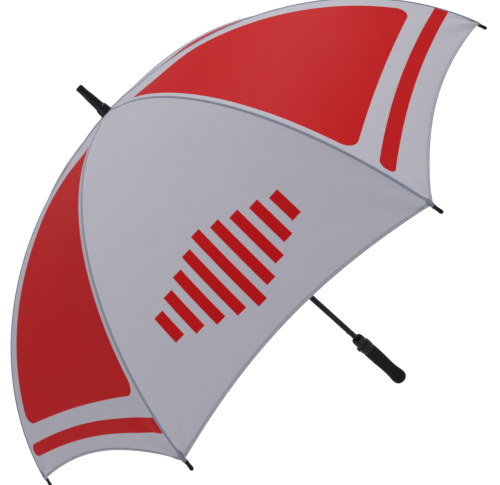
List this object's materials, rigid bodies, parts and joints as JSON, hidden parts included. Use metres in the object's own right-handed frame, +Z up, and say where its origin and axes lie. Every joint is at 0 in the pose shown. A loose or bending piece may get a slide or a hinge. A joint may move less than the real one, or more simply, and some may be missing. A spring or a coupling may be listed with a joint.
{
  "type": "golf umbrella",
  "caption": "Large open golf umbrella with a domed panelled canopy on folding ribs, a long straight shaft, spring-driven runner and straight push-button grip.",
  "frame": {"origin": "bottom centre of the handle's rounded end, on the shaft's axis", "axes": "+Z up the shaft towards the ferrule; the push button is on the -X side; the white front panel's middle faces -Y"},
  "size_m": [1.1946, 1.1946, 1.045],
  "materials": {
    "black_steel": "satin black",
    "black_plastic": "satin black moulded plastic",
    "gloss_black": "polished black plastic",
    "grip_rubber": "matt black soft-touch grip",
    "rib_black": "black pultruded fibreglass",
    "wire": "zinc-plated wire",
    "spring_steel": "plain spring steel",
    "fabric_red": "printed pongee cloth",
    "fabric_white": "pongee cloth"
  },
  "bodies": {
    "frame": {"shaft_tube": "black_steel", "ferrule": "black_plastic", "top_notch": "black_plastic", "notch_wire": "wire", "crown_washer": "black_plastic", "handle_core": "black_plastic", "grip": "grip_rubber", "handle_collar": "gloss_black", "end_cap": "grip_rubber", "handle_pin": "wire", "button_spring": "wire", "spring_plug": "spring_steel", "opening_spring": "wire"},
    "runner": {"runner": "black_plastic", "runner_wire": "wire", "plunger": "black_plastic", "drive_pin": "wire"},
    "push_button": {"push_button": "gloss_black"},
    "bottom_catch": {"bottom_catch": "spring_steel"},
    "rib_inner_1": {"rib_inner_1": "rib_black"},
    "rib_outer_1": {"rib_outer_1": "rib_black"},
    "stretcher_1": {"stretcher_1": "black_steel"},
    "panel_upper_1": {"panel_upper_1": "fabric_red"},
    "panel_lower_1": {"panel_lower_1": "fabric_red"},
    "rib_inner_2": {"rib_inner_2": "rib_black"},
    "rib_outer_2": {"rib_outer_2": "rib_black"},
    "stretcher_2": {"stretcher_2": "black_steel"},
    "panel_upper_2": {"panel_upper_2": "fabric_white"},
    "panel_lower_2": {"panel_lower_2": "fabric_white"},
    "rib_inner_3": {"rib_inner_3": "rib_black"},
    "rib_outer_3": {"rib_outer_3": "rib_black"},
    "stretcher_3": {"stretcher_3": "black_steel"},
    "panel_upper_3": {"panel_upper_3": "fabric_red"},
    "panel_lower_3": {"panel_lower_3": "fabric_red"},
    "rib_inner_4": {"rib_inner_4": "rib_black"},
    "rib_outer_4": {"rib_outer_4": "rib_black"},
    "stretcher_4": {"stretcher_4": "black_steel"},
    "panel_upper_4": {"panel_upper_4": "fabric_red"},
    "panel_lower_4": {"panel_lower_4": "fabric_red"},
    "rib_inner_5": {"rib_inner_5": "rib_black"},
    "rib_outer_5": {"rib_outer_5": "rib_black"},
    "stretcher_5": {"stretcher_5": "black_steel"},
    "panel_upper_5": {"panel_upper_5": "fabric_red"},
    "panel_lower_5": {"panel_lower_5": "fabric_red"},
    "rib_inner_6": {"rib_inner_6": "rib_black"},
    "rib_outer_6": {"rib_outer_6": "rib_black"},
    "stretcher_6": {"stretcher_6": "black_steel"},
    "panel_upper_6": {"panel_upper_6": "fabric_white"},
    "panel_lower_6": {"panel_lower_6": "fabric_white"},
    "rib_inner_7": {"rib_inner_7": "rib_black"},
    "rib_outer_7": {"rib_outer_7": "rib_black"},
    "stretcher_7": {"stretcher_7": "black_steel"},
    "panel_upper_7": {"panel_upper_7": "fabric_red"},
    "panel_lower_7": {"panel_lower_7": "fabric_red"},
    "rib_inner_8": {"rib_inner_8": "rib_black"},
    "rib_outer_8": {"rib_outer_8": "rib_black"},
    "stretcher_8": {"stretcher_8": "black_steel"},
    "panel_upper_8": {"panel_upper_8": "fabric_red"},
    "panel_lower_8": {"panel_lower_8": "fabric_red"}
  },
  "joints": [
    {"name": "runner_slide", "type": "slide", "parent": "frame", "child": "runner", "axis": [0, 0, 1], "range_m": [-0.432, 0], "stiffness_N_per_m": 225, "springref_m": 0.2, "deforming": ["opening_spring"]},
    {"name": "button_press", "type": "slide", "parent": "frame", "child": "push_button", "axis": [1, 0, 0], "range_m": [0, 0.002], "stiffness_N_per_m": 900, "springref_m": -0.002, "deforming": ["button_spring"]},
    {"name": "catch_flex", "type": "hinge", "parent": "frame", "child": "bottom_catch", "pos_m": [-0.0038, 0, 0.104], "axis": [0, 1, 0], "range_deg": [0, 2.6], "stiffness_Nm_per_rad": 0.5, "springref_deg": -2.86},
    {"name": "rib_fold_1", "type": "hinge", "parent": "frame", "child": "rib_inner_1", "pos_m": [0.01109, -0.00459, 0.963], "axis": [0.3827, 0.9239, 0], "range_deg": [0, 76]},
    {"name": "rib_flex_1", "type": "hinge", "parent": "rib_inner_1", "child": "rib_outer_1", "pos_m": [0.30008, -0.1243, 0.90694], "axis": [0.3827, 0.9239, 0], "range_deg": [-28.23, 0]},
    {"name": "stretcher_fold_1", "type": "hinge", "parent": "rib_inner_1", "child": "stretcher_1", "pos_m": [0.29758, -0.12326, 0.90048], "axis": [0.3827, 0.9239, 0], "range_deg": [-134.11, 0]},
    {"name": "panel_fold_1", "type": "hinge", "parent": "frame", "child": "panel_upper_1", "pos_m": [0.00784, -0.00784, 0.968], "axis": [0.7071, 0.7071, 0], "range_deg": [0, 74.8], "deforming": ["panel_upper_1"]},
    {"name": "hem_fold_1", "type": "hinge", "parent": "panel_upper_1", "child": "panel_lower_1", "pos_m": [0.21287, -0.21287, 0.90943], "axis": [0.7071, 0.7071, 0], "range_deg": [-28.6, 0], "deforming": ["panel_lower_1"]},
    {"name": "rib_fold_2", "type": "hinge", "parent": "frame", "child": "rib_inner_2", "pos_m": [0.00459, -0.01109, 0.963], "axis": [0.9239, 0.3827, 0], "range_deg": [0, 76]},
    {"name": "rib_flex_2", "type": "hinge", "parent": "rib_inner_2", "child": "rib_outer_2", "pos_m": [0.1243, -0.30008, 0.90694], "axis": [0.9239, 0.3827, 0], "range_deg": [-28.23, 0]},
    {"name": "stretcher_fold_2", "type": "hinge", "parent": "rib_inner_2", "child": "stretcher_2", "pos_m": [0.12326, -0.29758, 0.90048], "axis": [0.9239, 0.3827, 0], "range_deg": [-134.11, 0]},
    {"name": "panel_fold_2", "type": "hinge", "parent": "frame", "child": "panel_upper_2", "pos_m": [0, -0.01109, 0.968], "axis": [1, 0, 0], "range_deg": [0, 74.8], "deforming": ["panel_upper_2"]},
    {"name": "hem_fold_2", "type": "hinge", "parent": "panel_upper_2", "child": "panel_lower_2", "pos_m": [0, -0.30104, 0.90943], "axis": [1, 0, 0], "range_deg": [-28.6, 0], "deforming": ["panel_lower_2"]},
    {"name": "rib_fold_3", "type": "hinge", "parent": "frame", "child": "rib_inner_3", "pos_m": [-0.00459, -0.01109, 0.963], "axis": [0.9239, -0.3827, 0], "range_deg": [0, 76]},
    {"name": "rib_flex_3", "type": "hinge", "parent": "rib_inner_3", "child": "rib_outer_3", "pos_m": [-0.1243, -0.30008, 0.90694], "axis": [0.9239, -0.3827, 0], "range_deg": [-28.23, 0]},
    {"name": "stretcher_fold_3", "type": "hinge", "parent": "rib_inner_3", "child": "stretcher_3", "pos_m": [-0.12326, -0.29758, 0.90048], "axis": [0.9239, -0.3827, 0], "range_deg": [-134.11, 0]},
    {"name": "panel_fold_3", "type": "hinge", "parent": "frame", "child": "panel_upper_3", "pos_m": [-0.00784, -0.00784, 0.968], "axis": [0.7071, -0.7071, 0], "range_deg": [0, 74.8], "deforming": ["panel_upper_3"]},
    {"name": "hem_fold_3", "type": "hinge", "parent": "panel_upper_3", "child": "panel_lower_3", "pos_m": [-0.21287, -0.21287, 0.90943], "axis": [0.7071, -0.7071, 0], "range_deg": [-28.6, 0], "deforming": ["panel_lower_3"]},
    {"name": "rib_fold_4", "type": "hinge", "parent": "frame", "child": "rib_inner_4", "pos_m": [-0.01109, -0.00459, 0.963], "axis": [0.3827, -0.9239, 0], "range_deg": [0, 76]},
    {"name": "rib_flex_4", "type": "hinge", "parent": "rib_inner_4", "child": "rib_outer_4", "pos_m": [-0.30008, -0.1243, 0.90694], "axis": [0.3827, -0.9239, 0], "range_deg": [-28.23, 0]},
    {"name": "stretcher_fold_4", "type": "hinge", "parent": "rib_inner_4", "child": "stretcher_4", "pos_m": [-0.29758, -0.12326, 0.90048], "axis": [0.3827, -0.9239, 0], "range_deg": [-134.11, 0]},
    {"name": "panel_fold_4", "type": "hinge", "parent": "frame", "child": "panel_upper_4", "pos_m": [-0.01109, 0, 0.968], "axis": [0, -1, 0], "range_deg": [0, 74.8], "deforming": ["panel_upper_4"]},
    {"name": "hem_fold_4", "type": "hinge", "parent": "panel_upper_4", "child": "panel_lower_4", "pos_m": [-0.30104, 0, 0.90943], "axis": [0, -1, 0], "range_deg": [-28.6, 0], "deforming": ["panel_lower_4"]},
    {"name": "rib_fold_5", "type": "hinge", "parent": "frame", "child": "rib_inner_5", "pos_m": [-0.01109, 0.00459, 0.963], "axis": [-0.3827, -0.9239, 0], "range_deg": [0, 76]},
    {"name": "rib_flex_5", "type": "hinge", "parent": "rib_inner_5", "child": "rib_outer_5", "pos_m": [-0.30008, 0.1243, 0.90694], "axis": [-0.3827, -0.9239, 0], "range_deg": [-28.23, 0]},
    {"name": "stretcher_fold_5", "type": "hinge", "parent": "rib_inner_5", "child": "stretcher_5", "pos_m": [-0.29758, 0.12326, 0.90048], "axis": [-0.3827, -0.9239, 0], "range_deg": [-134.11, 0]},
    {"name": "panel_fold_5", "type": "hinge", "parent": "frame", "child": "panel_upper_5", "pos_m": [-0.00784, 0.00784, 0.968], "axis": [-0.7071, -0.7071, 0], "range_deg": [0, 74.8], "deforming": ["panel_upper_5"]},
    {"name": "hem_fold_5", "type": "hinge", "parent": "panel_upper_5", "child": "panel_lower_5", "pos_m": [-0.21287, 0.21287, 0.90943], "axis": [-0.7071, -0.7071, 0], "range_deg": [-28.6, 0], "deforming": ["panel_lower_5"]},
    {"name": "rib_fold_6", "type": "hinge", "parent": "frame", "child": "rib_inner_6", "pos_m": [-0.00459, 0.01109, 0.963], "axis": [-0.9239, -0.3827, 0], "range_deg": [0, 76]},
    {"name": "rib_flex_6", "type": "hinge", "parent": "rib_inner_6", "child": "rib_outer_6", "pos_m": [-0.1243, 0.30008, 0.90694], "axis": [-0.9239, -0.3827, 0], "range_deg": [-28.23, 0]},
    {"name": "stretcher_fold_6", "type": "hinge", "parent": "rib_inner_6", "child": "stretcher_6", "pos_m": [-0.12326, 0.29758, 0.90048], "axis": [-0.9239, -0.3827, 0], "range_deg": [-134.11, 0]},
    {"name": "panel_fold_6", "type": "hinge", "parent": "frame", "child": "panel_upper_6", "pos_m": [0, 0.01109, 0.968], "axis": [-1, 0, 0], "range_deg": [0, 74.8], "deforming": ["panel_upper_6"]},
    {"name": "hem_fold_6", "type": "hinge", "parent": "panel_upper_6", "child": "panel_lower_6", "pos_m": [0, 0.30104, 0.90943], "axis": [-1, 0, 0], "range_deg": [-28.6, 0], "deforming": ["panel_lower_6"]},
    {"name": "rib_fold_7", "type": "hinge", "parent": "frame", "child": "rib_inner_7", "pos_m": [0.00459, 0.01109, 0.963], "axis": [-0.9239, 0.3827, 0], "range_deg": [0, 76]},
    {"name": "rib_flex_7", "type": "hinge", "parent": "rib_inner_7", "child": "rib_outer_7", "pos_m": [0.1243, 0.30008, 0.90694], "axis": [-0.9239, 0.3827, 0], "range_deg": [-28.23, 0]},
    {"name": "stretcher_fold_7", "type": "hinge", "parent": "rib_inner_7", "child": "stretcher_7", "pos_m": [0.12326, 0.29758, 0.90048], "axis": [-0.9239, 0.3827, 0], "range_deg": [-134.11, 0]},
    {"name": "panel_fold_7", "type": "hinge", "parent": "frame", "child": "panel_upper_7", "pos_m": [0.00784, 0.00784, 0.968], "axis": [-0.7071, 0.7071, 0], "range_deg": [0, 74.8], "deforming": ["panel_upper_7"]},
    {"name": "hem_fold_7", "type": "hinge", "parent": "panel_upper_7", "child": "panel_lower_7", "pos_m": [0.21287, 0.21287, 0.90943], "axis": [-0.7071, 0.7071, 0], "range_deg": [-28.6, 0], "deforming": ["panel_lower_7"]},
    {"name": "rib_fold_8", "type": "hinge", "parent": "frame", "child": "rib_inner_8", "pos_m": [0.01109, 0.00459, 0.963], "axis": [-0.3827, 0.9239, 0], "range_deg": [0, 76]},
    {"name": "rib_flex_8", "type": "hinge", "parent": "rib_inner_8", "child": "rib_outer_8", "pos_m": [0.30008, 0.1243, 0.90694], "axis": [-0.3827, 0.9239, 0], "range_deg": [-28.23, 0]},
    {"name": "stretcher_fold_8", "type": "hinge", "parent": "rib_inner_8", "child": "stretcher_8", "pos_m": [0.29758, 0.12326, 0.90048], "axis": [-0.3827, 0.9239, 0], "range_deg": [-134.11, 0]},
    {"name": "panel_fold_8", "type": "hinge", "parent": "frame", "child": "panel_upper_8", "pos_m": [0.01109, 0, 0.968], "axis": [0, 1, 0], "range_deg": [0, 74.8], "deforming": ["panel_upper_8"]},
    {"name": "hem_fold_8", "type": "hinge", "parent": "panel_upper_8", "child": "panel_lower_8", "pos_m": [0.30104, 0, 0.90943], "axis": [0, 1, 0], "range_deg": [-28.6, 0], "deforming": ["panel_lower_8"]}
  ],
  "couplings": [
    {"joint": "rib_fold_1", "follows": "runner_slide", "rad_per_m": -3.0503},
    {"joint": "rib_flex_1", "follows": "runner_slide", "rad_per_m": 1.1203},
    {"joint": "stretcher_fold_1", "follows": "runner_slide", "rad_per_m": 5.398},
    {"joint": "panel_fold_1", "follows": "runner_slide", "rad_per_m": -3.0018},
    {"joint": "hem_fold_1", "follows": "runner_slide", "rad_per_m": 1.1353},
    {"joint": "rib_fold_2", "follows": "runner_slide", "rad_per_m": -3.0503},
    {"joint": "rib_flex_2", "follows": "runner_slide", "rad_per_m": 1.1203},
    {"joint": "stretcher_fold_2", "follows": "runner_slide", "rad_per_m": 5.398},
    {"joint": "panel_fold_2", "follows": "runner_slide", "rad_per_m": -3.0018},
    {"joint": "hem_fold_2", "follows": "runner_slide", "rad_per_m": 1.1353},
    {"joint": "rib_fold_3", "follows": "runner_slide", "rad_per_m": -3.0503},
    {"joint": "rib_flex_3", "follows": "runner_slide", "rad_per_m": 1.1203},
    {"joint": "stretcher_fold_3", "follows": "runner_slide", "rad_per_m": 5.398},
    {"joint": "panel_fold_3", "follows": "runner_slide", "rad_per_m": -3.0018},
    {"joint": "hem_fold_3", "follows": "runner_slide", "rad_per_m": 1.1353},
    {"joint": "rib_fold_4", "follows": "runner_slide", "rad_per_m": -3.0503},
    {"joint": "rib_flex_4", "follows": "runner_slide", "rad_per_m": 1.1203},
    {"joint": "stretcher_fold_4", "follows": "runner_slide", "rad_per_m": 5.398},
    {"joint": "panel_fold_4", "follows": "runner_slide", "rad_per_m": -3.0018},
    {"joint": "hem_fold_4", "follows": "runner_slide", "rad_per_m": 1.1353},
    {"joint": "rib_fold_5", "follows": "runner_slide", "rad_per_m": -3.0503},
    {"joint": "rib_flex_5", "follows": "runner_slide", "rad_per_m": 1.1203},
    {"joint": "stretcher_fold_5", "follows": "runner_slide", "rad_per_m": 5.398},
    {"joint": "panel_fold_5", "follows": "runner_slide", "rad_per_m": -3.0018},
    {"joint": "hem_fold_5", "follows": "runner_slide", "rad_per_m": 1.1353},
    {"joint": "rib_fold_6", "follows": "runner_slide", "rad_per_m": -3.0503},
    {"joint": "rib_flex_6", "follows": "runner_slide", "rad_per_m": 1.1203},
    {"joint": "stretcher_fold_6", "follows": "runner_slide", "rad_per_m": 5.398},
    {"joint": "panel_fold_6", "follows": "runner_slide", "rad_per_m": -3.0018},
    {"joint": "hem_fold_6", "follows": "runner_slide", "rad_per_m": 1.1353},
    {"joint": "rib_fold_7", "follows": "runner_slide", "rad_per_m": -3.0503},
    {"joint": "rib_flex_7", "follows": "runner_slide", "rad_per_m": 1.1203},
    {"joint": "stretcher_fold_7", "follows": "runner_slide", "rad_per_m": 5.398},
    {"joint": "panel_fold_7", "follows": "runner_slide", "rad_per_m": -3.0018},
    {"joint": "hem_fold_7", "follows": "runner_slide", "rad_per_m": 1.1353},
    {"joint": "rib_fold_8", "follows": "runner_slide", "rad_per_m": -3.0503},
    {"joint": "rib_flex_8", "follows": "runner_slide", "rad_per_m": 1.1203},
    {"joint": "stretcher_fold_8", "follows": "runner_slide", "rad_per_m": 5.398},
    {"joint": "panel_fold_8", "follows": "runner_slide", "rad_per_m": -3.0018},
    {"joint": "hem_fold_8", "follows": "runner_slide", "rad_per_m": 1.1353},
    {"joint": "catch_flex", "follows": "button_press", "rad_per_m": 20.769}
  ]
}
